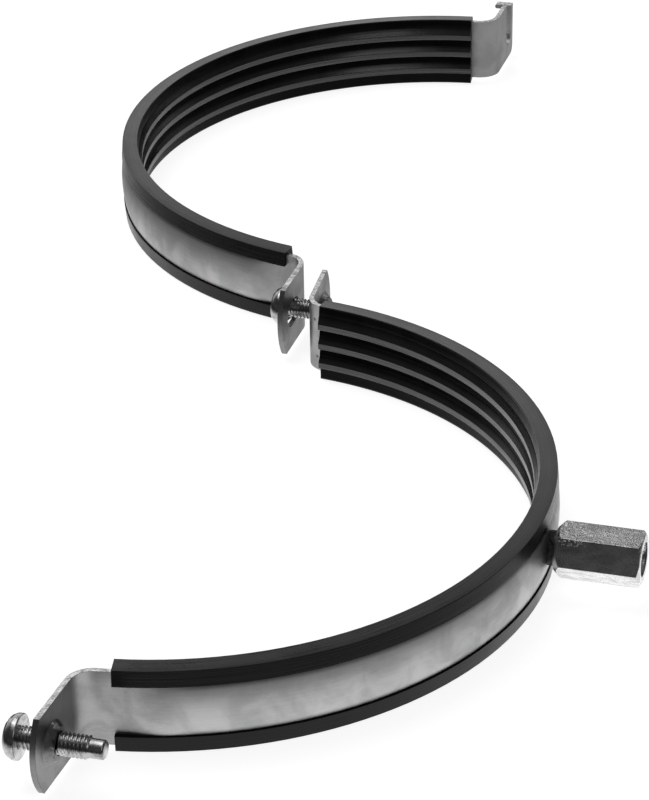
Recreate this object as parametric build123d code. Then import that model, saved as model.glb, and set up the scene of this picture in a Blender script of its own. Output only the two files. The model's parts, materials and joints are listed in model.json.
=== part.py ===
from build123d import *
import os
from math import atan2, cos, degrees, radians, sin, sqrt, tan

# A two-part pipe clamp with a rubber lining, swung open and lying on the edges of its band.
# Millimetres. The origin is the centre of the base half's bore, at half the band's width.
# +X runs out along the connection nut, +Y towards the hinge screw and +Z along the pipe.

# Rubber lining: a channel round the strip's edges, with three ridges towards the pipe.
# Its side is the rubber beyond each edge of the strip.
seat_radius = 95.3
lining_side = 1.45
lining_wall = 2.2
lining_clearance = 0.05
lip_height = 4.8
lip_drop = 0.35
lip_root_thickness = 1.0
lip_edge_thickness = 1.4
ridge_height = 1.4
ridge_flat = 1.8
ridge_first = 5.7
ridge_pitch = 6.25
base_lining_near_angle = 80.6
base_lining_far_angle = 83.0
swing_lining_near_angle = 80.9
swing_lining_far_angle = 81.0

# Steel strip: crowned along the bow, flat in the ears.
strip_width = 20.8
strip_thickness = 1.5
strip_crown = 1.7
bend_radius = 5.3
crown_end_angle = 73.0
flat_start_angle = 80.0
crown_steps = 4

# Ears: each hole's distance beyond the bow, the metal beyond the hole, and the end's rounding.
# A lean tips the ear's end away from the side where the bow bulges.
base_ear_x = 6.25
base_ear_lean = 3.8
base_hole_offset = 15.95
base_ear_overhang = 9.9
swing_ear_x = 9.1
swing_ear_lean = 2.2
swing_hole_offset = 12.25
swing_ear_overhang = 13.5
ear_end_radius = 17.0
hook_ear_x = 8.7
hook_ear_lean = -2.5
hook_overhang = 6.2
hook_corner = 3.0

# Screws: pan head, M6 shank, and a plain pilot at the tip.
screw_radius = 2.95
screw_length = 21.0
head_radius = 5.7
head_height = 3.8
head_rim = 1.3
head_flat_radius = 2.6
recess_width = 1.5
recess_depth = 1.9
cross_length = 6.4
pilot_radius = 2.45
pilot_length = 4.1
pilot_chamfer = 0.3
thread_clearance = 0.05
lock_head_gap = 6.4

# Extruded thread collar on each base ear.
collar_reach = 1.75
collar_rim_radius = 4.1
collar_root_radius = 5.6
dimple_radius = 4.6
dimple_depth = 1.2

# Openings in the swing half's ears, and the hook's folded finger.
swing_slot_width = 7.6
swing_slot_length = 11.4
swing_slot_play = 0.3
hook_slot_width = 6.4
hook_slot_depth = 2.5
finger_drop = 2.5
nose_reach = 3.6

# Place of the swing half: its ear stands on the hinge screw, turned a little off the base half.
swing_turn = 2.8
hinge_gap = 6.95
hinge_head_gap = 1.75
hinge_tilt = 0.76

# Connection nut: long hexagon nut with an M10 thread outside and an M8 thread inside.
nut_across_flats = 13.2
nut_length = 22.7
nut_turn = -5.0
nut_inner_chamfer = 1.9
nut_outer_chamfer = 0.7
neck_radius = 4.6
neck_height = 1.6
weld_gap = 0.02
outer_thread_radius = 4.25
outer_thread_depth = 12.0
inner_thread_radius = 3.4
inner_thread_depth = 21.5

half_width = strip_width / 2
half_thickness = strip_thickness / 2
lining_width = strip_width + 2 * lining_side
crest_radius = seat_radius - ridge_height
strip_edge_radius = seat_radius + lining_wall + strip_thickness
flat_radius = strip_edge_radius - half_thickness
bend_middle_radius = bend_radius + half_thickness
screw_reach = flat_radius + base_hole_offset
swing_screw_reach = flat_radius + swing_hole_offset
hook_reach = 2 * screw_reach - swing_screw_reach
hinge_x = base_ear_x - strip_thickness - hinge_gap
hinge_head_x = hinge_x - half_thickness - hinge_head_gap
lock_head_x = base_ear_x - half_thickness - lock_head_gap
nut_start = strip_edge_radius + strip_crown + neck_height


def polar(radius, angle):
    """A point of the bow's plane, with its angle from +X in degrees."""
    return Vector(radius * cos(radians(angle)), radius * sin(radians(angle)))


def arc_about(centre, start, end):
    """The short arc from start to end about a centre."""
    radius = (start - centre).length
    middle = centre + ((start + end) * 0.5 - centre).normalized() * radius
    return ThreePointArc(start, middle, end)


def strip_section(crown, margin=0.0):
    """Section of the strip in the XZ plane with a given crown, widened all round by a margin."""
    top = half_width + margin
    outer = strip_edge_radius + margin
    inner = strip_edge_radius - strip_thickness - margin
    if crown > 0:
        outer_side = ThreePointArc((outer, -top), (outer + crown, 0), (outer, top))
        inner_side = ThreePointArc((inner, top), (inner + crown, 0), (inner, -top))
    else:
        outer_side = Line((outer, -top), (outer, top))
        inner_side = Line((inner, top), (inner, -top))
    upper = Line((outer, top), (inner, top))
    lower = Line((inner, -top), (outer, -top))
    return Plane.XZ * make_face([outer_side, upper, inner_side, lower])


def spin(section, start, end):
    """Turns an XZ section about Z, from one angle to another."""
    swept = revolve(section, Axis.Z, revolution_arc=end - start)
    return Rot(0, 0, start) * swept


def bow(margin=0.0):
    """The crowned part of the strip."""
    return spin(strip_section(strip_crown, margin), -crown_end_angle, crown_end_angle)


def crown_fade(margin=0.0):
    """The stretch on the -Y side where the crown fades out before the bend."""
    sections = []
    for step in range(crown_steps + 1):
        share = step / crown_steps
        angle = crown_end_angle + share * (flat_start_angle - crown_end_angle)
        crown = strip_crown * (1 - 3 * share**2 + 2 * share**3)
        if step == crown_steps:
            crown = 0
        sections.append(Rot(0, 0, -angle) * strip_section(crown, margin))
    return loft(sections)


def flat_end(ear_x, lean, hole_reach, overhang, margin=0.0):
    """Flat end of the strip on the -Y side: the last of the bow, the bend and the ear."""
    outward = Vector(-sin(radians(lean)), -cos(radians(lean)))
    across = Vector(cos(radians(lean)), -sin(radians(lean)))
    hole = Vector(ear_x, -hole_reach)
    start = hole + across * bend_middle_radius
    reach = flat_radius + bend_middle_radius
    along = start.dot(outward)
    back = along - sqrt(along**2 - start.dot(start) + reach**2)
    centre = start - outward * back
    to_bow = centre.normalized()
    bend_angle = degrees(atan2(to_bow.Y, to_bow.X))
    middle_angle = (bend_angle - flat_start_angle) / 2
    tips = []
    bow_starts = []
    edges = []
    for offset in (half_thickness + margin, -half_thickness - margin):
        ear_tip = hole + outward * (overhang + strip_thickness) - across * offset
        bend_start = centre - across * (bend_middle_radius + offset)
        bow_end = to_bow * (flat_radius - offset)
        bow_start = polar(flat_radius - offset, -flat_start_angle)
        edges.append(Line(ear_tip, bend_start))
        edges.append(arc_about(centre, bend_start, bow_end))
        edges.append(ThreePointArc(bow_end, polar(flat_radius - offset, middle_angle), bow_start))
        tips.append(ear_tip)
        bow_starts.append(bow_start)
    outline = make_face(edges + [Line(*tips), Line(*bow_starts)])
    return extrude(outline, half_width + margin, both=True)


def side_prism(outline):
    """Extrudes an outline of the YZ plane through the whole bow."""
    return extrude(Plane.YZ * outline, seat_radius, both=True)


def rounded_end(tip):
    """Outline of an ear on the -Y side, with its end rounded."""
    disc_centre = ear_end_radius - tip
    straight = Pos(disc_centre / 2, 0) * Rectangle(-disc_centre, 2 * strip_width)
    return side_prism(straight + Pos(disc_centre, 0) * Circle(ear_end_radius))


def along_x(shape, x, y):
    """Stands a shape made along Z on the line through (x, y) that runs along +X."""
    return Pos(x, y, 0) * Rot(0, 90, 0) * shape


def threaded_collar():
    """Collar drawn out of a base ear for the thread, with its ear at the origin and its rim at +X."""
    height = collar_reach + half_thickness
    flare = (collar_root_radius - collar_rim_radius) / collar_reach
    root = collar_root_radius + flare * half_thickness
    return along_x(Cone(root, collar_rim_radius, height), height / 2, 0)


def tapped_hole():
    """The collar's bore with the drawn-in mouth on the other side of the ear."""
    radius = screw_radius + thread_clearance
    bore = along_x(Cylinder(radius, 4 * collar_reach + 4 * strip_thickness), 0, 0)
    flare = (dimple_radius - radius) / dimple_depth
    depth = dimple_depth + half_thickness
    start = -2 * half_thickness
    dimple = along_x(Cone(dimple_radius + flare * half_thickness, radius, depth), start + depth / 2, 0)
    return bore + dimple


def base_ear(tilt):
    """Threaded ear of the base half on the -Y side, its hole tilted in the ear plane."""
    ear = flat_end(base_ear_x, base_ear_lean, screw_reach, base_ear_overhang)
    ear = ear & rounded_end(screw_reach + base_ear_overhang)
    drift = (base_ear_x - hinge_x) * tan(radians(tilt))
    place = Pos(base_ear_x, drift - screw_reach, 0) * Rot(0, 0, tilt)
    return ear + place * threaded_collar() - place * tapped_hole()


def base_band():
    """Strip of the base half, with a threaded ear at each end."""
    lock_side = crown_fade() + base_ear(0)
    hinge_side = mirror(crown_fade() + base_ear(hinge_tilt), Plane.XZ)
    return bow() + lock_side + hinge_side


def slotted_ear():
    """Near ear of the swing half, with the slotted hole for the hinge screw."""
    ear = flat_end(swing_ear_x, swing_ear_lean, swing_screw_reach, swing_ear_overhang)
    ear = ear & rounded_end(swing_screw_reach + swing_ear_overhang)
    slot_start = swing_screw_reach - screw_radius - swing_slot_play
    slot_middle = -slot_start - swing_slot_length / 2
    slot = Pos(slot_middle, 0) * SlotOverall(swing_slot_length, swing_slot_width)
    return ear - side_prism(slot)


def hook_outline():
    """Outline of the hook ear: its lower corner rounded, and its finger a little shorter."""
    tip = hook_reach + hook_overhang
    outline = Pos(-tip / 2, 0) * Rectangle(tip, strip_width)
    corner = outline.vertices().group_by(Axis.X)[0].sort_by(Axis.Y)[0]
    outline = fillet(corner, hook_corner)
    finger_length = 2 * (hook_overhang - hook_slot_width / 2)
    return outline - Pos(-tip, half_width) * Rectangle(finger_length, 2 * finger_drop)


def hook_slot():
    """Open slot of the hook, with its round end below the mid plane."""
    length = half_width + hook_slot_depth
    mouth = Pos(0, length / 2 - hook_slot_depth) * Rectangle(hook_slot_width, length)
    seat = Pos(0, -hook_slot_depth) * Circle(hook_slot_width / 2)
    return extrude(Plane.YZ * (mouth + seat), 2 * strip_thickness, both=True)


def nose():
    """Top of the hook's finger, folded over towards the lock screw's head."""
    inner = -half_thickness
    end = half_thickness + nose_reach
    top = half_width - finger_drop
    under = top - strip_thickness
    low = under - strip_thickness
    corners = [(inner, low), (inner, top), (end, top), (end, under), (-inner, under), (-inner, low)]
    face = make_face(Polyline(*corners, close=True))
    fold = face.vertices().group_by(Axis.X)[0].sort_by(Axis.Y)[-1]
    face = fillet(fold, strip_thickness)
    face = fillet(face.vertices().group_by(Axis.X)[-1], strip_thickness / 2.2)
    length = hook_overhang - hook_slot_width / 2
    return Pos(0, -hook_slot_width / 2, 0) * extrude(Plane.XZ * face, length)


def hook_ear():
    """Far ear of the swing half, built on the -Y side: an open hook with a folded finger."""
    ear = flat_end(hook_ear_x, hook_ear_lean, hook_reach, hook_overhang)
    ear = ear & side_prism(hook_outline())
    place = Pos(hook_ear_x, -hook_reach, 0) * Rot(0, 0, -hook_ear_lean)
    return ear + place * nose() - place * hook_slot()


def swing_band():
    """Strip of the swing half in its own frame: slotted ear at +Y, hook at -Y."""
    near = mirror(crown_fade() + slotted_ear(), Plane.XZ)
    return bow() + near + crown_fade() + hook_ear()


def pipe_side():
    """Inner outline of the lining's section, as corners from its top edge down to its bottom edge."""
    corners = [(seat_radius, lining_width / 2)]
    for ridge in range(3):
        place = ridge_first - ridge * ridge_pitch
        above = corners[-1][1]
        high = place + ridge_flat / 2
        low = place - ridge_flat / 2
        corners.append((seat_radius - 0.3 * ridge_height, 0.45 * above + 0.55 * high))
        corners.append((crest_radius, high))
        corners.append((crest_radius, low))
        corners.append((seat_radius, low - 0.4 * ridge_height))
    corners.append((seat_radius, -lining_width / 2))
    return corners


def lining_section():
    """Section of the lining in the XZ plane, with the window between its lips."""
    top = lining_width / 2
    lip_root = (strip_edge_radius + lip_root_thickness, top - lip_drop)
    lip_edge = (strip_edge_radius + lip_edge_thickness, top - lip_height)
    upper = [lip_edge, lip_root]
    lower = [(lip_root[0], -lip_root[1]), (lip_edge[0], -lip_edge[1])]
    body = make_face(Polyline(*pipe_side(), *lower, *upper, close=True))
    window_depth = 2 * lip_edge_thickness
    window_start = strip_edge_radius - 2 * lining_clearance
    window = Pos(window_start + window_depth / 2, 0) * Rectangle(window_depth, 2 * lip_edge[1])
    return Plane.XZ * (body - window)


def lining(start, end, ear_x, lean, hole_reach):
    """Rubber lining of one half, with the channel for its strip cut in."""
    blank = spin(lining_section(), start, end)
    ear = crown_fade(lining_clearance) + flat_end(ear_x, lean, hole_reach, 0, lining_clearance)
    return blank - (bow(lining_clearance) + ear + mirror(ear, Plane.XZ))


def screw():
    """A pan head screw along +X from the underside of its head at the origin."""
    shank_end = screw_length - pilot_length
    step = screw_radius - pilot_radius
    outline = Polyline(
        (0, -head_height),
        (head_flat_radius, -head_height),
        ((head_flat_radius + head_radius) / 2, -0.89 * head_height),
        (0.9 * head_radius, -0.66 * head_height),
        (head_radius, -head_rim),
        (head_radius, 0),
        (screw_radius, 0),
        (screw_radius, shank_end),
        (pilot_radius, shank_end + step),
        (pilot_radius, screw_length - pilot_chamfer),
        (pilot_radius - pilot_chamfer, screw_length),
        (0, screw_length),
        close=True,
    )
    body = revolve(Plane.XZ * make_face(outline), Axis.Z)
    cut = Pos(0, 0, -head_height) * Box(2 * (head_radius + recess_depth), recess_width, 2 * recess_depth)
    cross = Pos(0, 0, -head_height) * Box(recess_width, cross_length, 2 * recess_depth)
    return along_x(body - cut - cross, 0, 0)


def hinge_screw():
    """The hinge screw on the hinge's own tilted axis."""
    drift = (hinge_x - hinge_head_x) * tan(radians(hinge_tilt))
    return Pos(hinge_head_x, screw_reach + drift, 0) * Rot(0, 0, -hinge_tilt) * screw()


def connection_nut():
    """Long hexagon nut on a short welded neck, with a stepped thread bore from its outer end."""
    hexagon = RegularPolygon(nut_across_flats / 2, 6, major_radius=False, rotation=30)
    corner = nut_across_flats / sqrt(3)
    turned = Polyline(
        (0, 0),
        (corner - nut_inner_chamfer, 0),
        (corner, nut_inner_chamfer),
        (corner, nut_length - nut_outer_chamfer),
        (corner - 2 * nut_outer_chamfer, nut_length),
        (0, nut_length),
        close=True,
    )
    barrel = revolve(Plane.XZ * make_face(turned), Axis.Z)
    sunk = strip_edge_radius + strip_crown / 2
    neck = Pos(0, 0, (sunk - nut_start) / 2) * Cylinder(neck_radius, nut_start - sunk)
    outer_bore = Cylinder(outer_thread_radius, 2 * outer_thread_depth)
    inner_bore = Cylinder(inner_thread_radius, 2 * inner_thread_depth)
    nut = (extrude(hexagon, nut_length) & barrel) + neck - Pos(0, 0, nut_length) * (outer_bore + inner_bore)
    placed = along_x(Rot(0, 0, nut_turn) * nut, nut_start, 0)
    return placed - spin(strip_section(strip_crown, weld_gap), -6, 6)


def place_swing(shape):
    """Moves the swing half from its own frame to its place on the hinge screw."""
    turn = radians(swing_turn)
    along = Vector(sin(turn), cos(turn))
    across = Vector(cos(turn), -sin(turn))
    centre = Vector(hinge_x, screw_reach) + along * swing_screw_reach + across * swing_ear_x
    return Pos(centre.X, centre.Y, 0) * Rot(0, 0, 180 - swing_turn) * shape


def main():
    base_ends = (-base_lining_near_angle, base_lining_far_angle)
    swing_ends = (-swing_lining_far_angle, swing_lining_near_angle)
    base_lining = lining(*base_ends, base_ear_x, base_ear_lean, screw_reach)
    swing_lining = lining(*swing_ends, hook_ear_x, hook_ear_lean, hook_reach)
    parts = {
        "base_band": base_band(),
        "base_lining": base_lining,
        "connection_nut": connection_nut(),
        "lock_screw": Pos(lock_head_x, -screw_reach, 0) * screw(),
        "hinge_screw": hinge_screw(),
        "swing_band": place_swing(swing_band()),
        "swing_lining": place_swing(swing_lining),
    }
    os.makedirs("parts", exist_ok=True)
    for name, shape in parts.items():
        solids = shape.solids()
        print(name, "solids", len(solids), "volume", round(sum(s.volume for s in solids), 1))
        export_step(shape, "parts/" + name + ".step")


main()
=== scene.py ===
# %% [markdown]
# # A rubber lined pipe clamp, swung open
# The clamp is two bowed steel strips in black rubber channels. A hinge screw holds them
# together, and a hook on the far strip drops over the lock screw. A long hexagon nut is
# welded to the near strip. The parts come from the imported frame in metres, +Z along the pipe.

import json
import math

import bmesh
import bpy
from mathutils import Matrix, Vector


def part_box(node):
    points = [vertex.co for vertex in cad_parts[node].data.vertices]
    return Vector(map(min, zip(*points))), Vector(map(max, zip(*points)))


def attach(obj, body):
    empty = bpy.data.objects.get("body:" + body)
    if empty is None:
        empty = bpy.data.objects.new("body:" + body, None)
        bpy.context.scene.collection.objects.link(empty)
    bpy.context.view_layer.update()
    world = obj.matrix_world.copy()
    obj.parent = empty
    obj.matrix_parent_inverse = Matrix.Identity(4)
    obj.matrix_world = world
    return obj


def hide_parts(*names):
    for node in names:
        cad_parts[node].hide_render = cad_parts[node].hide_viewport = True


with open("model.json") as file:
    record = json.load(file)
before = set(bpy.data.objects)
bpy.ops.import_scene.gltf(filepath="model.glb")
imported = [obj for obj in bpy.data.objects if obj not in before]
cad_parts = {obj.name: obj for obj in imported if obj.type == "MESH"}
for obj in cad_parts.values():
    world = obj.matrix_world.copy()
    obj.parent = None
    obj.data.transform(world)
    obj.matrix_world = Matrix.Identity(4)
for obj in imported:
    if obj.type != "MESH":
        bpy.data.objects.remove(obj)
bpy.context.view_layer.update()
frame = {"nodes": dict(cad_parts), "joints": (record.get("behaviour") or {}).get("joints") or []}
MM = 0.001
print("nodes:", ", ".join(sorted(frame["nodes"])))

# %% [markdown]
# ## The sizes that the pieces share
# Most of them can be measured on the frame. The tilted hinge screw is easier to place from
# its joint, because its box is a little larger than the screw.

# %% Measure the frame
BOW_CENTRES = {"base": Vector((0.0, 0.0, 0.0)), "swing": Vector((12.287, 224.1235, 0.0)) * MM}
EDGE_RADIUS = 99.0 * MM
SCREW_REACH = 114.2 * MM
HEAD_HEIGHT = 3.8 * MM
SCREW_LENGTH = 21.0 * MM
lining_low, lining_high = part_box("base_lining")
joint_axes = {joint["name"]: Vector(joint["axis"]) for joint in frame["joints"]}
lock_low, lock_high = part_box("lock_screw")
hinge_low, hinge_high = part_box("hinge_screw")
nut_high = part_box("connection_nut")[1]
print("lining from", round(lining_low.z / MM, 2), "to", round(lining_high.z / MM, 2), "mm")

# %% [markdown]
# ## Camera
# A long lens from a standing person's height, turned a little to the right of the clamp's
# own front. The vertical sensor sets the frame, so the frame's height decides the lens.

# %% Set the camera
CAMERA_AZIMUTH = math.radians(16.557)
CAMERA_ELEVATION = math.radians(28.655)
CAMERA_ROLL = math.radians(-1.1012)
CAMERA_TARGET = Vector((22.7009, 61.6773, 0.0)) * MM
CAMERA_DISTANCE = 873.497 * MM
CAMERA_SHIFT = -0.25 * MM
SENSOR = 36.0
LENS = 140.48


def direction(azimuth, elevation):
    """The way from the target to a place at that azimuth and elevation, as seen from the front."""
    flat = math.cos(elevation)
    return Vector((math.sin(azimuth) * flat, -math.cos(azimuth) * flat, math.sin(elevation)))


def set_camera():
    """Makes the camera and looks at the target with a small roll."""
    back = direction(CAMERA_AZIMUTH, CAMERA_ELEVATION)
    right = Vector((math.cos(CAMERA_AZIMUTH), math.sin(CAMERA_AZIMUTH), 0.0))
    up = back.cross(right)
    across = right * math.cos(CAMERA_ROLL) + up * math.sin(CAMERA_ROLL)
    upright = up * math.cos(CAMERA_ROLL) - right * math.sin(CAMERA_ROLL)
    lens = bpy.data.cameras.new("camera")
    lens.sensor_fit = "VERTICAL"
    lens.sensor_height = SENSOR
    lens.lens = LENS
    lens.clip_start = 0.01
    lens.clip_end = 20.0
    camera = bpy.data.objects.new("camera", lens)
    camera.matrix_world = Matrix((across, upright, back)).transposed().to_4x4()
    camera.location = CAMERA_TARGET + back * CAMERA_DISTANCE + across * CAMERA_SHIFT
    bpy.context.scene.collection.objects.link(camera)
    bpy.context.scene.camera = camera


set_camera()
bpy.context.scene.view_settings.view_transform = "Standard"
print("camera at", [round(v, 3) for v in bpy.context.scene.camera.location])

# %% [markdown]
# ## Helpers for node trees
# Every finish below is a tree of shader nodes. A few small helpers keep the cells short: they
# add a node and set its inputs, do sums, mix colours, and make and place a shared group.
# A group gives out only values and colours, and the shader itself stays in each material.

# %% Node helpers


def connect(tree, value, socket):
    """Links a socket to another one, or sets it to a plain value."""
    if isinstance(value, bpy.types.NodeSocket):
        tree.links.new(value, socket)
    else:
        socket.default_value = value


def add(tree, kind, settings=None, **inputs):
    """Adds a shader node; in the input names, _ stands for a space."""
    made = tree.nodes.new("ShaderNode" + kind)
    for name, value in (settings or {}).items():
        setattr(made, name, value)
    for name, value in inputs.items():
        connect(tree, value, made.inputs[name.replace("_", " ")])
    return made


def sums(tree, operation, first, second=0.0, third=0.0):
    """One Math node on up to three values."""
    made = add(tree, "Math", {"operation": operation})
    for place, value in enumerate((first, second, third)):
        connect(tree, value, made.inputs[place])
    return made.outputs[0]


def spread(tree, value, low, high, to_low=0.0, to_high=1.0):
    """Maps a range of values smoothly onto another range."""
    settings = {"interpolation_type": "SMOOTHSTEP"}
    made = add(tree, "MapRange", settings, Value=value, From_Min=low, From_Max=high)
    connect(tree, to_low, made.inputs["To Min"])
    connect(tree, to_high, made.inputs["To Max"])
    return made.outputs["Result"]


def mixed(tree, factor, first, second):
    """A colour between two colours."""
    made = add(tree, "Mix", {"data_type": "RGBA"})
    for place, value in ((0, factor), (6, first), (7, second)):
        connect(tree, value, made.inputs[place])
    return made.outputs[2]


def grey(value, warmth=0.0):
    """A grey colour, warmer or colder by a little."""
    return (value * (1 + warmth), value, value * (1 - warmth), 1.0)


def effect_group(name, inputs, outputs):
    """A shader node group with named inputs and outputs, ready to be filled."""
    group = bpy.data.node_groups.new(name, "ShaderNodeTree")
    for label, kind, value in inputs:
        socket = group.interface.new_socket(label, in_out="INPUT", socket_type="NodeSocket" + kind)
        if value is not None:
            socket.default_value = value
    for label in outputs:
        group.interface.new_socket(label, in_out="OUTPUT", socket_type="NodeSocketFloat")
    ends = group.nodes.new("NodeGroupInput"), group.nodes.new("NodeGroupOutput")
    return group, ends[0].outputs, ends[1].inputs


def use_group(tree, group, **inputs):
    """Places a group in a material with the material's own values."""
    made = tree.nodes.new("ShaderNodeGroup")
    made.node_tree = group
    for name, value in inputs.items():
        connect(tree, value, made.inputs[name.replace("_", " ")])
    return made.outputs


print("node helpers are ready")

# %% [markdown]
# ## The shared effects
# Zinc plating is never one grey: soft clouds a few millimetres across, tiny bright specks,
# and the fine lines that rolling leaves along the strip. The lines follow the bow, so they
# are drawn in round coordinates about its centre. Rubber has the same lines from its die.

# %% Group: clouds in a plated or moulded skin


def make_clouds():
    """Soft patches, a coarser drift and fine grain, each from 0 to 1."""
    group, given, wanted = effect_group(
        "skin_clouds",
        [("Vector", "Vector", None), ("Patch", "Float", 6.0), ("Grain", "Float", 0.4)],
        ["Tone", "Drift", "Grain"],
    )
    metres = add(group, "Math", {"operation": "DIVIDE"})
    connect(group, 1.0 / MM, metres.inputs[0])
    connect(group, given["Patch"], metres.inputs[1])
    soft = add(group, "TexNoise", Vector=given["Vector"], Scale=metres.outputs[0], Detail=4.0,
               Roughness=0.55, Distortion=0.6)
    wide = add(group, "TexNoise", Vector=given["Vector"], Detail=2.0,
               Scale=sums(group, "MULTIPLY", metres.outputs[0], 0.28))
    fine = add(group, "TexNoise", Vector=given["Vector"], Detail=3.0,
               Scale=sums(group, "DIVIDE", 1.0 / MM, given["Grain"]))
    connect(group, spread(group, soft.outputs[0], 0.34, 0.66), wanted["Tone"])
    connect(group, spread(group, wide.outputs[0], 0.36, 0.64), wanted["Drift"])
    connect(group, spread(group, fine.outputs[0], 0.3, 0.7), wanted["Grain"])
    return group


skin_clouds = make_clouds()
print("group:", skin_clouds.name)

# %% Group: lines along the bow


def make_bow_lines():
    """Fine lines round a centre, as rolling or extruding leaves them, and the radius in mm."""
    group, given, wanted = effect_group(
        "bow_lines",
        [("Vector", "Vector", None), ("Fine", "Float", 0.25), ("Long", "Float", 12.0)],
        ["Lines", "Radius"],
    )
    axes = add(group, "SeparateXYZ", Vector=given["Vector"]).outputs
    squares = [sums(group, "POWER", axes[place], 2.0) for place in (0, 1)]
    square = sums(group, "ADD", *squares)
    radius = sums(group, "SQRT", square)
    angle = sums(group, "ARCTAN2", axes[1], axes[0])
    along = sums(group, "DIVIDE", sums(group, "MULTIPLY", angle, 99.0), given["Long"])
    up = sums(group, "DIVIDE", sums(group, "DIVIDE", axes[2], MM), given["Fine"])
    out = sums(group, "DIVIDE", sums(group, "DIVIDE", radius, MM), given["Fine"])
    connect(group, sums(group, "DIVIDE", radius, MM), wanted["Radius"])
    place = add(group, "CombineXYZ", X=along, Y=up, Z=out)
    lines = add(group, "TexNoise", Vector=place.outputs[0], Scale=1.0, Detail=2.0)
    connect(group, spread(group, lines.outputs[0], 0.35, 0.7), wanted["Lines"])
    return group


bow_lines = make_bow_lines()
print("group:", bow_lines.name)

# %% Group: a mark at one place


def make_mark():
    """A soft round mark, from 1 at its place to 0 at its radius, with a torn outline."""
    group, given, wanted = effect_group(
        "skin_mark",
        [("Vector", "Vector", None), ("Place", "Vector", None), ("Radius", "Float", 1.0)],
        ["Mark"],
    )
    apart = add(group, "VectorMath", {"operation": "DISTANCE"})
    connect(group, given["Vector"], apart.inputs[0])
    connect(group, given["Place"], apart.inputs[1])
    size = sums(group, "MULTIPLY", given["Radius"], MM)
    torn = add(group, "TexNoise", Vector=given["Vector"], Scale=900.0, Detail=2.0)
    ragged = sums(group, "MULTIPLY_ADD", torn.outputs[0], 0.9, 0.55)
    share = sums(group, "DIVIDE", apart.outputs["Value"], sums(group, "MULTIPLY", size, ragged))
    connect(group, spread(group, share, 0.3, 1.0, 1.0, 0.0), wanted["Mark"])
    return group


skin_mark = make_mark()
print("group:", skin_mark.name)

# %% [markdown]
# ## The strip's steel
# The strips are electroplated with zinc and look satin, a little darker in some clouds.
# A Principled shader at full metallic takes the plating's grey as its base colour. Clouds
# move both the colour and the roughness, and the rolling lines add a very shallow bump.

# %% Start a material
# Starts, ends and edges are distances from the bow's centre in millimetres.
# The first three set painted shade that darkens the ears towards their ends.
EAR_SHADE_START, EAR_SHADE_END, EAR_SHADE = 97.0, 106.0, 0.6
LIP_SHADE_START, LIP_SHADE_END, LIP_SHADE = 5.4, 7.0, 0.75
LINED_START, LINED_END = 93.0, 97.0
LINE_BRIGHT, LINE_SHARE = 0.7, 0.12
# How dark the marks get: painted shade on the base strip, a dark spot on the swing strip.
DIRT_AND_SHADE_SHARE = 0.8


def start_material(name, centre=(0.0, 0.0, 0.0)):
    """A material with its Principled shader, and object coordinates measured from a centre."""
    material = bpy.data.materials.new(name)
    material.use_nodes = True
    tree = material.node_tree
    shader = tree.nodes["Principled BSDF"]
    coordinates = add(tree, "TexCoord").outputs["Object"]
    shift = tuple(-value for value in centre)
    place = add(tree, "Mapping", Vector=coordinates, Location=shift).outputs[0]
    return material, tree, shader, place


def bump(tree, shader, height, depth):
    """Raises the shader's normal by a height map; depth is in millimetres."""
    made = add(tree, "Bump", Strength=1.0, Distance=depth * MM, Height=height)
    tree.links.new(made.outputs[0], shader.inputs["Normal"])


def plated_strip(name, centre, shade_and_marks, low, high, shaded_ears):
    """Satin zinc between two greys, with painted shade and dark spots as (place, radius) in mm, and
    painted shade on the ears.

    A soft shade lies beside the rubber lips, on the lined part of the bow.
    """
    material, tree, shader, place = start_material(name, centre)
    clouds = use_group(tree, skin_clouds, Vector=place, Patch=9.0, Grain=0.35)
    lines = use_group(tree, bow_lines, Vector=place, Fine=0.22, Long=9.0)["Lines"]
    drift = sums(tree, "MULTIPLY", clouds["Drift"], 0.45)
    tone = sums(tree, "MULTIPLY_ADD", clouds["Tone"], 0.55, drift)
    plated = mixed(tree, tone, grey(low, -0.01), grey(high))
    skin = mixed(tree, sums(tree, "MULTIPLY", lines, LINE_SHARE), plated, grey(LINE_BRIGHT))
    axes = add(tree, "SeparateXYZ", Vector=place).outputs
    # Painted shade: the ears are darkened towards a dark grey.
    ear_shade_mask = 0.0
    for side in shaded_ears:
        reach = sums(tree, "MULTIPLY", axes[1], side / MM)
        shaded_end = spread(tree, reach, EAR_SHADE_START, EAR_SHADE_END, 0.0, EAR_SHADE)
        ear_shade_mask = sums(tree, "MAXIMUM", ear_shade_mask, shaded_end)
    skin = mixed(tree, ear_shade_mask, skin, grey(0.1))
    height = sums(tree, "ABSOLUTE", axes[2])
    near_lip = spread(tree, height, LIP_SHADE_START * MM, LIP_SHADE_END * MM, 0.0, LIP_SHADE)
    across = sums(tree, "ABSOLUTE", axes[1])
    lined_part = spread(tree, across, LINED_START * MM, LINED_END * MM, 1.0, 0.0)
    skin = mixed(tree, sums(tree, "MULTIPLY", near_lip, lined_part), skin, grey(0.04))
    # Painted shade round the base's screw collars and beside its lip ends, and a dark spot on the swing
    # strip, all towards a near black grey.
    dirt_and_shade = 0.0
    for spot, radius in shade_and_marks:
        mark = use_group(tree, skin_mark, Vector=place, Place=Vector(spot) * MM, Radius=radius)["Mark"]
        dirt_and_shade = sums(tree, "MAXIMUM", dirt_and_shade, mark)
    dirt_and_shade = sums(tree, "MULTIPLY", dirt_and_shade, DIRT_AND_SHADE_SHARE)
    connect(tree, mixed(tree, dirt_and_shade, skin, grey(0.06)), shader.inputs["Base Color"])
    shader.inputs["Metallic"].default_value = 1.0
    rough = sums(tree, "MULTIPLY_ADD", clouds["Grain"], 0.08, spread(tree, tone, 0.0, 1.0, 0.46, 0.34))
    connect(tree, rough, shader.inputs["Roughness"])
    bump(tree, shader, sums(tree, "MULTIPLY_ADD", lines, 0.6, clouds["Grain"]), 0.004)
    return material
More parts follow.
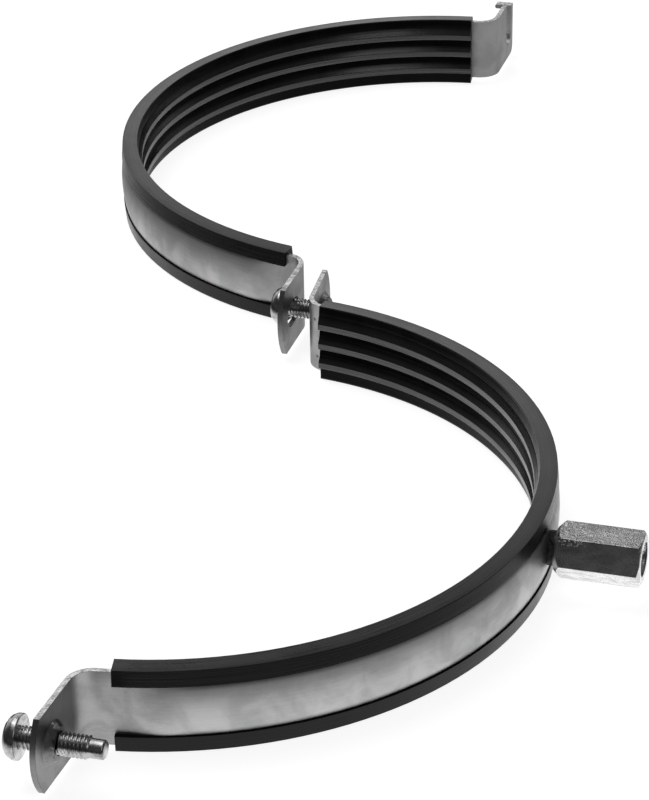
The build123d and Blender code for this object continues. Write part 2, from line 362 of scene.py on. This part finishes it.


# Each mark is a place from the bow's centre and a radius, in millimetres.
# The base's marks are painted shade round the screw collars and beside the lip ends; the swing's mark is
# a dark spot.
COLLAR_SHADE = tuple(((7.6, side * SCREW_REACH / MM, 0.0), 6.6) for side in (-1, 1))
BASE_SHADE = COLLAR_SHADE + (((9.2, 97.9, 5.7), 0.8), ((9.9, 97.5, -6.1), 0.7))
SWING_MARKS = (((-92.0, -40.0, 3.0), 0.7),)
base_zinc = plated_strip("base_strip_zinc", BOW_CENTRES["base"], BASE_SHADE, 0.35, 0.47, (-1.0, 1.0))
swing_zinc = plated_strip("swing_strip_zinc", BOW_CENTRES["swing"], SWING_MARKS, 0.34, 0.44, (-1.0,))
print("strip finishes:", base_zinc.name, swing_zinc.name)

# %% [markdown]
# The strip is cut from a coil, and its sheared edges stay rougher and brighter than its
# faces, with short tears across them. They get their own finish on the same piece, which
# is simpler than a mask, because the edge faces are known when the piece is built. The tiny
# radius beside a cut edge is given a darker zinc.

# %% Sheared edges


def sheared_steel():
    """Torn, bright steel on a cut edge."""
    material, tree, shader, place = start_material("sheared_steel")
    torn = use_group(tree, skin_clouds, Vector=place, Patch=0.9, Grain=0.25)
    broad = use_group(tree, skin_clouds, Vector=place, Patch=5.0, Grain=0.5)["Tone"]
    share = sums(tree, "MULTIPLY_ADD", torn["Tone"], 0.6, sums(tree, "MULTIPLY", broad, 0.4))
    colour = mixed(tree, share, grey(0.2), grey(0.98))
    connect(tree, colour, shader.inputs["Base Color"])
    shader.inputs["Metallic"].default_value = 1.0
    shader.inputs["Roughness"].default_value = 0.42
    bump(tree, shader, torn["Tone"], 0.06)
    return material


def dark_cut_rim():
    """Dull dark zinc on the tiny radius beside a cut edge."""
    material, tree, shader, place = start_material("dark_cut_rim")
    clouds = use_group(tree, skin_clouds, Vector=place, Patch=1.5, Grain=0.3)
    connect(tree, mixed(tree, clouds["Tone"], grey(0.02), grey(0.14)), shader.inputs["Base Color"])
    shader.inputs["Metallic"].default_value = 1.0
    shader.inputs["Roughness"].default_value = 0.45
    bump(tree, shader, clouds["Grain"], 0.01)
    return material


edge_steel = sheared_steel()
rim_steel = dark_cut_rim()
print("edge finishes:", edge_steel.name, rim_steel.name)

# %% [markdown]
# ## The rubber
# Extruded rubber is deep black with a satin skin. Its die leaves lines along the bow, and
# bloom makes dull patches. Nearly all its light is the reflection at a flat angle, so the
# base colour stays very dark and the roughness does the work. How much it shines depends on
# the place: the crests of the inner beads are rubbed smooth, the hollows between them stay
# dull, and the lips outside are duller than the flat edges.

# %% Lining rubber
FLAT_SHINE, LIP_SHINE, BEAD_SHINE, HOLLOW_SHINE = 0.55, 0.2, 1.0, 0.08
# Heights from the mid plane, then radii from the bow's centre, in millimetres.
WALL_EDGE, FLAT_EDGE = 11.3, 11.7
BEAD_CREST, HOLLOW_FLOOR = 94.1, 95.1
LIP_INSIDE, LIP_OUTSIDE = 98.4, 99.4


def extruded_rubber(name, centre):
    """Black satin rubber with die lines round the bow."""
    material, tree, shader, place = start_material(name, centre)
    clouds = use_group(tree, skin_clouds, Vector=place, Patch=14.0, Grain=0.3)
    bow = use_group(tree, bow_lines, Vector=place, Fine=0.35, Long=25.0)
    lines, radius = bow["Lines"], bow["Radius"]
    share = sums(tree, "MULTIPLY_ADD", clouds["Tone"], 0.5, sums(tree, "MULTIPLY", lines, 0.5))
    connect(tree, mixed(tree, share, grey(0.003), grey(0.008)), shader.inputs["Base Color"])
    height = sums(tree, "ABSOLUTE", add(tree, "SeparateXYZ", Vector=place).outputs[2])
    wall = spread(tree, height, WALL_EDGE * MM, FLAT_EDGE * MM, 1.0, 0.0)
    bead = spread(tree, radius, BEAD_CREST, HOLLOW_FLOOR, BEAD_SHINE, HOLLOW_SHINE)
    outside = spread(tree, radius, LIP_INSIDE, LIP_OUTSIDE)
    polish = sums(tree, "MULTIPLY_ADD", outside, sums(tree, "SUBTRACT", LIP_SHINE, bead), bead)
    more = sums(tree, "MULTIPLY", wall, sums(tree, "SUBTRACT", polish, FLAT_SHINE))
    connect(tree, sums(tree, "ADD", more, FLAT_SHINE), shader.inputs["Specular IOR Level"])
    rough = spread(tree, share, 0.0, 1.0, 0.24, 0.36)
    connect(tree, rough, shader.inputs["Roughness"])
    rough_skin = sums(tree, "MULTIPLY", clouds["Grain"], 0.35)
    bump(tree, shader, sums(tree, "ADD", lines, rough_skin), 0.012)
    return material


base_rubber = extruded_rubber("base_lining_rubber", BOW_CENTRES["base"])
swing_rubber = extruded_rubber("swing_lining_rubber", BOW_CENTRES["swing"])
print("rubber finishes:", base_rubber.name, swing_rubber.name)

# %% [markdown]
# ## Screw and nut steel
# Small turned and pressed parts are brighter than the strip, with fine grain and dark
# specks in the plating. The nut was drawn as a bar, so its clouds are stretched along it,
# and the weld left small bright drops near its neck. The neck is painted nearly black as shade.

# %% Bright zinc, and the neck painted dark as shade
SPATTER_RISE = (4.2 * MM, 4.8 * MM)
SPATTER_END = (105.0, 112.0)
DROP_HEIGHT = 4.0
NUT_STRETCH = 2.2


def bright_zinc(name, low, high, roughness, depth, stretch=1.0, spatter=None):
    """Shiny zinc with specks, drawn out along X by a stretch.

    Spatter is the two distances in mm along X between which weld drops fade out.
    """
    material, tree, shader, place = start_material(name)
    drawn = add(tree, "Mapping", Vector=place, Scale=(1.0 / stretch, 1.0, 1.0)).outputs[0]
    clouds = use_group(tree, skin_clouds, Vector=drawn, Patch=2.4, Grain=0.22)
    soft = sums(tree, "MULTIPLY", clouds["Tone"], 0.55)
    tone = sums(tree, "MULTIPLY_ADD", clouds["Drift"], 0.45, soft)
    colour = mixed(tree, tone, grey(low, -0.01), grey(high))
    specks = spread(tree, clouds["Grain"], 0.0, 0.22, 0.55, 0.0)
    colour = mixed(tree, specks, colour, grey(0.08))
    drops = 0.0
    if spatter:
        axes = add(tree, "SeparateXYZ", Vector=place).outputs
        near = spread(tree, axes[0], spatter[0] * MM, spatter[1] * MM, 1.0, 0.0)
        near = sums(tree, "MULTIPLY", near, spread(tree, axes[2], *SPATTER_RISE))
        spots = use_group(tree, skin_clouds, Vector=place, Patch=0.8, Grain=0.3)["Tone"]
        drops = sums(tree, "MULTIPLY", near, spread(tree, spots, 0.72, 0.92))
        colour = mixed(tree, drops, colour, grey(1.0))
    connect(tree, colour, shader.inputs["Base Color"])
    shader.inputs["Metallic"].default_value = 1.0
    rough = sums(tree, "MULTIPLY_ADD", clouds["Tone"], -0.1, roughness)
    connect(tree, rough, shader.inputs["Roughness"])
    height = sums(tree, "MULTIPLY_ADD", clouds["Tone"], 0.7, clouds["Grain"])
    bump(tree, shader, sums(tree, "MULTIPLY_ADD", drops, DROP_HEIGHT, height), depth)
    return material


def shaded_neck_steel():
    """The weld neck's steel, painted nearly black as the shade under the nut."""
    material, tree, shader, place = start_material("shaded_neck_steel")
    clouds = use_group(tree, skin_clouds, Vector=place, Patch=1.2, Grain=0.25)
    colour = mixed(tree, clouds["Tone"], grey(0.012), grey(0.09, 0.04))
    connect(tree, colour, shader.inputs["Base Color"])
    shader.inputs["Metallic"].default_value = 0.6
    shader.inputs["Roughness"].default_value = 0.55
    bump(tree, shader, clouds["Tone"], 0.25)
    return material


screw_zinc = bright_zinc("screw_zinc", 0.22, 0.6, 0.22, 0.01)
nut_zinc = bright_zinc("nut_zinc", 0.38, 0.8, 0.24, 0.02, NUT_STRETCH, SPATTER_END)
neck_shade = shaded_neck_steel()
print("fastener finishes:", screw_zinc.name, nut_zinc.name, neck_shade.name)

# %% [markdown]
# ## Helpers for the pieces
# A frame node is a soup of triangles with flat facets. A copy with its doubles merged and
# its flat areas dissolved is a clean skin, and bevels then give it the small rounded
# corners that catch the light. The piece stands for its node and rides on the same body.

# %% Piece helpers
JOIN = 0.001 * MM
FLAT = math.radians(0.4)


def skin_of(node):
    """A frame node's mesh as one clean skin."""
    skin = bmesh.new()
    skin.from_mesh(frame["nodes"][node].data)
    bmesh.ops.remove_doubles(skin, verts=skin.verts, dist=JOIN)
    bmesh.ops.dissolve_limit(skin, angle_limit=FLAT, verts=skin.verts, edges=skin.edges)
    return skin


def corners(skin, least, wanted=None):
    """The edges that bend by more than an angle in degrees and pass a test."""
    found = []
    for edge in skin.edges:
        if len(edge.link_faces) != 2 or edge.calc_face_angle(0.0) < math.radians(least):
            continue
        if wanted is None or wanted(edge):
            found.append(edge)
    return found


def round_off(skin, edges, radius, segments):
    """Rounds edges by a radius in millimetres and returns the new faces."""
    made = bmesh.ops.bevel(
        skin, geom=edges, offset=radius * MM, offset_type="OFFSET", affect="EDGES",
        segments=segments, profile=0.5, material=-1, clamp_overlap=True,
    )
    return made["faces"]


def make_piece(skin, name, node, body, materials, sharp=38.0):
    """Turns a skin into the finished piece that stands for a frame node."""
    mesh = bpy.data.meshes.new(name)
    skin.to_mesh(mesh)
    skin.free()
    for material in materials:
        mesh.materials.append(material)
    mesh.polygons.foreach_set("use_smooth", [True] * len(mesh.polygons))
    mesh.set_sharp_from_angle(angle=math.radians(sharp))
    piece = bpy.data.objects.new(name, mesh)
    bpy.context.scene.collection.objects.link(piece)
    weighted = piece.modifiers.new("even_shading", "WEIGHTED_NORMAL")
    weighted.keep_sharp = True
    weighted.weight = 80
    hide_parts(node)
    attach(piece, body)
    print(name, len(mesh.polygons), "faces")
    return piece


print("piece helpers are ready")

# %% [markdown]
# ## The steel strips
# Their shape is the frame's own: a crowned bow, soft bends and flat ears. The cut edges
# get a small burr radius. On the base ears the drawn thread collar grows out of the sheet
# in a soft curve, so the ring where it meets the ear is rounded much more. A thin fin beside
# the hook's slot is lowered onto the hook's finger, and the folded nose is made a little longer.

# %% Build the strips
HOOK_MIDDLE = 342.3 * MM
FINGER_TOP = 7.9 * MM
NOSE_ROOT = 7.9 * MM
NOSE_EXTRA = 0.7 * MM
FIN_WIDTH = 0.05 * MM
# The collar's root lies between two distances in millimetres from the screw's axis.
COLLAR_NEAR, COLLAR_FAR = 4.9, 6.0
COLLAR_RADIUS = 1.4
BURR_RADIUS = 0.19
CUT_EDGE_NORMAL = 0.75
EDGE_SLOT, RIM_SLOT = 1, 2


def near_screw_axis(edge, low, high):
    """True for an edge whose ends lie between two distances in mm from a screw's axis."""
    for vertex in edge.verts:
        away = math.hypot(abs(vertex.co.y) - SCREW_REACH, vertex.co.z) / MM
        if not low < away < high:
            return False
    return True


def trim_finger(skin):
    """Lowers the thin fin beside the hook's slot onto the finger, and lengthens the nose."""
    for vertex in skin.verts:
        if vertex.co.y < HOOK_MIDDLE:
            continue
        vertex.co.z = min(vertex.co.z, FINGER_TOP)
        if vertex.co.x < NOSE_ROOT:
            vertex.co.x -= NOSE_EXTRA
    bmesh.ops.remove_doubles(skin, verts=skin.verts, dist=FIN_WIDTH)
    bmesh.ops.dissolve_degenerate(skin, edges=skin.edges, dist=0.04 * MM)


def build_strip(name, node, body, zinc, collars):
    """One strip with burr radii on its cut edges and sheared steel between them."""
    skin = skin_of(node)
    if not collars:
        trim_finger(skin)
    else:
        roots = corners(skin, 20.0, lambda edge: near_screw_axis(edge, COLLAR_NEAR, COLLAR_FAR))
        round_off(skin, roots, COLLAR_RADIUS, 5)
    burrs = corners(skin, 50.0)
    rims = round_off(skin, burrs, BURR_RADIUS, 2)
    for face in skin.faces:
        if abs(face.normal.z) > CUT_EDGE_NORMAL:
            face.material_index = EDGE_SLOT
    for face in rims:
        face.material_index = RIM_SLOT
    print(name, len(burrs), "cut edges,", len(rims), "burr faces")
    return make_piece(skin, name, node, body, [zinc, edge_steel, rim_steel])


build_strip("base_strip", "base_band", "base", base_zinc, True)
build_strip("swing_strip", "swing_band", "swing", swing_zinc, False)

# %% [markdown]
# ## The rubber linings
# An extruded profile has rounded corners all along its length, while its two cut ends are
# crisp. So only the edges that run round the bow are beveled: both ends of such an edge
# have the same radius and height.

# %% Build the linings
# Edges between the two sides lie against the strip, where nobody sees them.
LINING_CORNER = 0.22
INNER_SIDE = EDGE_RADIUS - 3.2 * MM
OUTER_SIDE = EDGE_RADIUS + 0.45 * MM


def runs_round(centre):
    """A test for edges that run round a bow's centre."""
    def test(edge):
        first, second = (vertex.co - centre for vertex in edge.verts)
        level = abs(first.z - second.z) < 0.02 * MM
        return level and abs(first.xy.length - second.xy.length) < 0.03 * MM
    return test


def build_lining(name, node, body, rubber):
    """One lining with its long corners rounded, where they can be seen."""
    skin = skin_of(node)
    centre = BOW_CENTRES[body]
    runs = runs_round(centre)

    def in_sight(edge):
        away = (edge.verts[0].co - centre).xy.length
        return runs(edge) and not INNER_SIDE <= away <= OUTER_SIDE

    long_corners = corners(skin, 12.0, in_sight)
    round_off(skin, long_corners, LINING_CORNER, 3)
    print(name, len(long_corners), "long corners")
    return make_piece(skin, name, node, body, [rubber], 30.0)


build_lining("base_rubber_lining", "base_lining", "base", base_rubber)
build_lining("swing_rubber_lining", "swing_lining", "swing", swing_rubber)

# %% [markdown]
# ## Threads
# A screw thread is one pitch of its profile carried round and up at the same time. The spin
# operator does exactly that when it is given a rise for each step, and neighbouring turns
# meet, so merging doubles closes them. Two flat cuts then trim the rod to length.

# %% Thread helpers
THREAD_STEPS = 28


def cut_flat(skin, place, outward):
    """Cuts a closed skin at a plane, drops what lies outward of it and caps the cut."""
    everything = skin.verts[:] + skin.edges[:] + skin.faces[:]
    bmesh.ops.bisect_plane(skin, geom=everything, plane_co=place, plane_no=outward, clear_outer=True)
    rim = [edge for edge in skin.edges if edge.is_boundary
           and all(abs((v.co - Vector(place)).dot(Vector(outward))) < JOIN for v in edge.verts)]
    bmesh.ops.contextual_create(skin, geom=rim)


def threaded_rod(core, crest, pitch, first, last):
    """A closed rod along +Z with a rounded V thread; sizes in millimetres."""
    rod = bmesh.new()
    profile = ((core, 0.0), (crest, 0.36), (crest, 0.5), (core, 0.86), (core, 1.0))
    start = first - pitch
    line = [rod.verts.new((away * MM, 0.0, (start + share * pitch) * MM)) for away, share in profile]
    joins = [rod.edges.new(pair) for pair in zip(line, line[1:])]
    turns = math.ceil((last - first) / pitch) + 2
    rise = (0.0, 0.0, pitch * MM / THREAD_STEPS)
    bmesh.ops.spin(rod, geom=line + joins, cent=(0, 0, 0), axis=(0, 0, 1), dvec=rise,
                   angle=math.tau * turns, steps=THREAD_STEPS * turns, use_merge=False)
    bmesh.ops.remove_doubles(rod, verts=rod.verts, dist=JOIN)
    cut_flat(rod, (0, 0, first * MM), (0, 0, -1))
    cut_flat(rod, (0, 0, last * MM), (0, 0, 1))
    bmesh.ops.recalc_face_normals(rod, faces=rod.faces)
    return rod


def turned(profile, steps=48):
    """A turned solid along +Z from (radius, height) points in millimetres, on the axis at both ends."""
    solid = bmesh.new()
    line = [solid.verts.new((away * MM, 0.0, height * MM)) for away, height in profile]
    joins = [solid.edges.new(pair) for pair in zip(line, line[1:])]
    bmesh.ops.spin(solid, geom=line + joins, cent=(0, 0, 0), axis=(0, 0, 1),
                   angle=math.tau, steps=steps, use_merge=True)
    bmesh.ops.remove_doubles(solid, verts=solid.verts, dist=JOIN)
    bmesh.ops.recalc_face_normals(solid, faces=solid.faces)
    return solid


def block(width, depth, low, high):
    """A box about the Z axis, in millimetres."""
    solid = bmesh.new()
    bmesh.ops.create_cube(solid, size=1.0)
    size = Matrix.Diagonal((width * MM, depth * MM, (high - low) * MM, 1.0))
    place = Matrix.Translation((0.0, 0.0, (low + high) / 2 * MM))
    bmesh.ops.transform(solid, matrix=place @ size, verts=solid.verts)
    return solid


def combine(skin, tool, operation):
    """Joins or cuts one closed skin with another through a Boolean modifier."""
    pair = []
    for part in (skin, tool):
        mesh = bpy.data.meshes.new("part")
        part.to_mesh(mesh)
        part.free()
        pair.append(bpy.data.objects.new("part", mesh))
        bpy.context.scene.collection.objects.link(pair[-1])
    solid = pair[0].modifiers.new("combine", "BOOLEAN")
    solid.operation = operation
    solid.solver = "EXACT"
    solid.object = pair[1]
    bpy.context.view_layer.update()
    done = bmesh.new()
    done.from_object(pair[0], bpy.context.evaluated_depsgraph_get())
    for part in pair:
        bpy.data.objects.remove(part)
    return done


print("thread helpers are ready")

# %% [markdown]
# ## The two screws
# Both are pan head screws with an M6 thread, a plain pilot at the tip, and a recess that
# takes a flat or a cross blade. The head is turned from its outline and rounded, the
# recess is cut with two blocks, and the thread and the pilot are joined on.

# %% Build the screws
CORE, CREST, PITCH = 2.5, 2.95, 1.0
THREAD_END = 16.9
# Outlines are points of a radius and a height in millimetres.
PAN_OUTLINE = ((0, -3.8), (2.6, -3.8), (4.15, -3.38), (5.13, -2.5), (5.7, -1.3), (5.7, 0), (0, 0))
PILOT_OUTLINE = ((0, 16.4), (2.62, 16.4), (2.62, 17.0), (2.4, 17.35), (2.4, 20.6), (2.0, 21.0), (0, 21.0))
RECESS_TOP, RECESS_FLOOR = -5.0, -1.9
BLADE = 1.5


def is_level(edge):
    """True for an edge that lies at one height, as a turned ring does."""
    return abs(edge.verts[0].co.z - edge.verts[1].co.z) < JOIN


def screw_along_z():
    """A screw along +Z from the underside of its head."""
    head = turned(PAN_OUTLINE)
    round_off(head, corners(head, 8.0, is_level), 0.32, 3)
    for width, depth in ((18.0, BLADE), (BLADE, 6.4)):
        head = combine(head, block(width, depth, RECESS_TOP, RECESS_FLOOR), "DIFFERENCE")
    round_off(head, corners(head, 60.0), 0.1, 2)
    thread = threaded_rod(CORE, CREST, PITCH, -0.5, THREAD_END)
    pilot = turned(PILOT_OUTLINE, 36)
    round_off(pilot, corners(pilot, 15.0, is_level), 0.12, 2)
    shank = combine(thread, pilot, "UNION")
    return combine(head, shank, "UNION")


def build_screw(name, node, underside, axis):
    """Lays a screw along its own axis in the frame."""
    skin = screw_along_z()
    turn = axis.to_track_quat("Z", "Y").to_matrix().to_4x4()
    quarter = Matrix.Rotation(math.radians(90.0), 4, "Z")
    place = Matrix.Translation(underside)
    bmesh.ops.transform(skin, matrix=place @ turn @ quarter, verts=skin.verts)
    return make_piece(skin, name, node, node, [screw_zinc], 32.0)


lock_axis = -joint_axes["lock_screw_travel"]
hinge_axis = -joint_axes["hinge_screw_travel"]
lock_head = Vector((lock_low.x + HEAD_HEIGHT, (lock_low.y + lock_high.y) / 2, 0.0))
hinge_middle = (hinge_low + hinge_high) / 2
hinge_head = hinge_middle - hinge_axis * (SCREW_LENGTH - HEAD_HEIGHT) / 2
build_screw("lock_pan_screw", "lock_screw", lock_head, lock_axis)
build_screw("hinge_pan_screw", "hinge_screw", hinge_head, hinge_axis)

# %% [markdown]
# ## The connection nut
# The frame's nut already has its hexagon and its chamfers. Its long corners are rounded a
# little, it is turned on its own axis by a few degrees, and threads are cut into its two
# bores with threaded rods as the cutting tools. The neck under it is painted dark as shade.

# %% Build the nut
NUT_TOP = round(nut_high.x / MM, 2)
STEP_PLACE = 113.0
SMALL_BORE_START = 104.0
NECK_END, NECK_RADIUS = 102.35, 5.5
NUT_TURN = math.radians(12.7)


def along_x(skin):
    """Lays a skin made along +Z on the X axis."""
    bmesh.ops.transform(skin, matrix=Matrix.Rotation(math.radians(90.0), 4, "Y"), verts=skin.verts)
    return skin


def build_nut():
    """The nut with its threads and its neck painted dark as shade."""
    skin = skin_of("connection_nut")
    outer = corners(skin, 35.0, lambda edge: edge.verts[0].co.yz.length > NECK_RADIUS * MM)
    round_off(skin, outer, 0.16, 2)
    mouth = threaded_rod(4.2, 4.85, 1.5, STEP_PLACE, NUT_TOP + 1.0)
    skin = combine(skin, along_x(mouth), "DIFFERENCE")
    bmesh.ops.transform(skin, matrix=Matrix.Rotation(NUT_TURN, 4, "X"), verts=skin.verts)
    inner = threaded_rod(3.35, 3.95, 1.25, SMALL_BORE_START, STEP_PLACE)
    skin = combine(skin, along_x(inner), "DIFFERENCE")
    # The neck's faces take the steel painted dark as shade.
    for face in skin.faces:
        middle = face.calc_center_median()
        if middle.x < NECK_END * MM and middle.yz.length < NECK_RADIUS * MM:
            face.material_index = 1
    finishes = [nut_zinc, neck_shade]
    return make_piece(skin, "welded_nut", "connection_nut", "base", finishes, 30.0)


build_nut()

# %% [markdown]
# ## Floor, backdrop and light
# The clamp lies on the edges of its lining on a plain pale floor. The floor keeps the
# clamp's shadow and shows white to the camera through Light Path. In reflections it glows
# where it is seen steeply and is dark at a flat angle, so upright faces get some contrast.

# %% Floor
FLOOR_SHADE, MIRRORED_SHADE = 0.6, 0.12
FLOOR_GLOW, MIRRORED_EXTRA = 0.86, 0.3
FLAT_VIEW, STEEP_VIEW = 0.24, 0.52
FLOOR_HALF = 6.0
FLOOR_GAP = 0.02


def rays_that_see(tree, mirrored=1.0):
    """1 for camera and transmission rays, and a share for glossy rays."""
    path = add(tree, "LightPath").outputs
    seen = sums(tree, "MAXIMUM", path["Is Camera Ray"], path["Is Transmission Ray"])
    return sums(tree, "MAXIMUM", seen, sums(tree, "MULTIPLY", path["Is Glossy Ray"], mirrored))


def pale_floor():
    """A matte floor that adds a little light of its own where it is looked at."""
    material = bpy.data.materials.new("pale_floor")
    material.use_nodes = True
    tree = material.node_tree
    tree.nodes.clear()
    mirror = tree.nodes.new("ShaderNodeLightPath").outputs["Is Glossy Ray"]
    shade = mixed(tree, mirror, grey(FLOOR_SHADE), grey(MIRRORED_SHADE))
    matte = add(tree, "BsdfDiffuse", Color=shade)
    glow = add(tree, "Emission", Color=grey(1.0))
    steep = sums(tree, "SUBTRACT", 1.0, add(tree, "LayerWeight", Blend=0.5).outputs["Facing"])
    seen = rays_that_see(tree, spread(tree, steep, FLAT_VIEW, STEEP_VIEW))
    power = sums(tree, "MULTIPLY_ADD", mirror, MIRRORED_EXTRA, FLOOR_GLOW)
    connect(tree, sums(tree, "MULTIPLY", seen, power), glow.inputs["Strength"])
    both = add(tree, "AddShader")
    connect(tree, matte.outputs[0], both.inputs[0])
    connect(tree, glow.outputs[0], both.inputs[1])
    out = tree.nodes.new("ShaderNodeOutputMaterial")
    connect(tree, both.outputs[0], out.inputs["Surface"])
    return material


def lay_floor():
    """A wide square just under the linings."""
    flat = bmesh.new()
    bmesh.ops.create_grid(flat, x_segments=1, y_segments=1, size=FLOOR_HALF)
    level = Matrix.Translation((0.0, 0.0, lining_low.z - FLOOR_GAP * MM))
    bmesh.ops.transform(flat, matrix=level, verts=flat.verts)
    mesh = bpy.data.meshes.new("floor")
    flat.to_mesh(mesh)
    flat.free()
    mesh.materials.append(pale_floor())
    floor = bpy.data.objects.new("floor", mesh)
    bpy.context.scene.collection.objects.link(floor)


lay_floor()
print("floor at", round(lining_low.z / MM, 2), "mm")

# %% [markdown]
# The world is plain white to the camera and a weak even fill for everything else. Shiny
# pieces see a studio in it: a bright wall low down behind the clamp, a dark room on the
# camera's side, and a soft ceiling.

# %% World
FILL = 0.12
ROOM, WALL = 0.07, 0.92
CEILING = 0.4


def studio_world():
    """Even fill, the studio that glossy rays see, and a plain white background."""
    world = bpy.data.worlds.new("studio")
    bpy.context.scene.world = world
    world.use_nodes = True
    tree = world.node_tree
    tree.nodes.clear()
    fill = add(tree, "Background", Color=grey(1.0), Strength=FILL)
    way = add(tree, "TexCoord").outputs["Generated"]
    facing = add(tree, "VectorMath", {"operation": "DOT_PRODUCT"})
    connect(tree, way, facing.inputs[0])
    connect(tree, -direction(CAMERA_AZIMUTH, 0.0), facing.inputs[1])
    behind = spread(tree, facing.outputs["Value"], 0.25, 0.85)
    height = add(tree, "SeparateXYZ", Vector=way).outputs[2]
    low = spread(tree, height, 0.45, 0.72, 1.0, 0.0)
    room = sums(tree, "MULTIPLY_ADD", sums(tree, "MULTIPLY", behind, low), WALL, ROOM)
    room = sums(tree, "ADD", room, spread(tree, height, 0.8, 0.97, 0.0, CEILING))
    white = add(tree, "Background", Color=grey(1.0), Strength=1.0)
    connect(tree, sums(tree, "MAXIMUM", room, rays_that_see(tree, 0.0)), white.inputs["Strength"])
    choice = add(tree, "MixShader", Fac=rays_that_see(tree))
    connect(tree, fill.outputs[0], choice.inputs[1])
    connect(tree, white.outputs[0], choice.inputs[2])
    out = tree.nodes.new("ShaderNodeOutputWorld")
    connect(tree, choice.outputs[0], out.inputs["Surface"])


studio_world()
print("world is set")

# %% [markdown]
# Two soft boxes draw the highlights and a faint shadow: a large one high at the back, and a
# small weak one in front.

# %% Lights


def soft_light(name, azimuth, elevation, distance, size, power):
    """A square soft box that looks at the middle of the clamp."""
    data = bpy.data.lights.new(name, "AREA")
    data.shape = "SQUARE"
    data.size = size
    data.energy = power
    light = bpy.data.objects.new(name, data)
    towards = direction(math.radians(azimuth), math.radians(elevation))
    light.location = CAMERA_TARGET + towards * distance
    light.rotation_euler = (-towards).to_track_quat("-Z", "Y").to_euler()
    bpy.context.scene.collection.objects.link(light)


soft_light("high_box", -120.0, 65.0, 1.5, 1.0, 6.0)
soft_light("front_box", 40.0, 35.0, 1.6, 0.7, 1.6)
print("lights:", sorted(light.name for light in bpy.data.lights))
